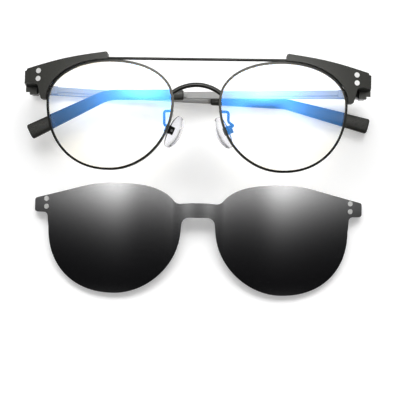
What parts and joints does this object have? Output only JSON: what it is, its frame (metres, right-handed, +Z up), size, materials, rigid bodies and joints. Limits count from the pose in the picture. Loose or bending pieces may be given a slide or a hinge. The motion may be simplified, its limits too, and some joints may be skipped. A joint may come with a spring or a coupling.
{
  "type": "eyeglasses with magnetic sun clip",
  "caption": "Browline eyeglasses lying folded with the front up, and a one-piece domed sun clip that is held to the brow ends by magnets.",
  "frame": {"origin": "middle of the whole set, on the table", "axes": "+X across the front towards the wearer's left temple hinge, +Y from the sun clip towards the tops of the glasses, +Z up from the table"},
  "size_m": [0.1422, 0.0971, 0.0206],
  "materials": {
    "frame_metal": "dark gunmetal, satin",
    "clear_lens": "clear, coated against blue light",
    "brow_plastic": "black, polished",
    "magnet": "nickel plated",
    "screw_steel": "plain steel",
    "pad_silicone": "clear silicone",
    "temple_metal": "light grey paint, satin",
    "sleeve_plastic": "black, polished",
    "sun_lens": "dark grey polarised sheet, polished"
  },
  "bodies": {
    "front": {"rim_left": "frame_metal", "rim_right": "frame_metal", "lens_left": "clear_lens", "lens_right": "clear_lens", "top_bar": "frame_metal", "bridge": "frame_metal", "brow_left": "brow_plastic", "brow_right": "brow_plastic", "brow_magnets_left": "magnet", "brow_magnets_right": "magnet", "brow_screws_left": "screw_steel", "brow_screws_right": "screw_steel", "rim_lock_left": "frame_metal", "rim_lock_right": "frame_metal", "rim_screw_left": "screw_steel", "rim_screw_right": "screw_steel", "end_piece_left": "frame_metal", "end_piece_right": "frame_metal", "front_hinge_left": "frame_metal", "front_hinge_right": "frame_metal", "hinge_screw_left": "screw_steel", "hinge_screw_right": "screw_steel", "pad_arm_left": "frame_metal", "pad_arm_right": "frame_metal", "pad_box_left": "frame_metal", "pad_box_right": "frame_metal", "pad_screw_left": "screw_steel", "pad_screw_right": "screw_steel"},
    "temple_left": {"temple_hinge_left": "temple_metal", "temple_rivets_left": "temple_metal", "temple_shaft_left": "temple_metal", "ear_sleeve_left": "sleeve_plastic"},
    "temple_right": {"temple_hinge_right": "temple_metal", "temple_rivets_right": "temple_metal", "temple_shaft_right": "temple_metal", "ear_sleeve_right": "sleeve_plastic"},
    "pad_left": {"nose_pad_left": "pad_silicone"},
    "pad_right": {"nose_pad_right": "pad_silicone"},
    "sun_clip": {"clip_sheet": "sun_lens", "clip_magnets_left": "magnet", "clip_magnets_right": "magnet"}
  },
  "joints": [
    {"name": "temple_left_hinge", "type": "hinge", "parent": "front", "child": "temple_left", "pos_m": [0.06617, 0.03547, 0.00665], "axis": [0, -1, 0], "range_deg": [0, 92]},
    {"name": "temple_right_hinge", "type": "hinge", "parent": "front", "child": "temple_right", "pos_m": [-0.06779, 0.03547, 0.00355], "axis": [0, 1, 0], "range_deg": [0, 88]},
    {"name": "pad_left_rock", "type": "hinge", "parent": "front", "child": "pad_left", "pos_m": [0.01174, 0.01887, 0.01169], "axis": [-0.1668, -0.0611, 0.9841], "range_deg": [-8, 8]},
    {"name": "pad_right_rock", "type": "hinge", "parent": "front", "child": "pad_right", "pos_m": [-0.01165, 0.01887, 0.01115], "axis": [0.368, -0.1651, 0.9151], "range_deg": [-8, 8]},
    {"name": "sun_clip_lift", "type": "slide", "parent": "front", "child": "sun_clip", "axis": [0, 0, 1], "range_m": [0, 0.04]}
  ]
}
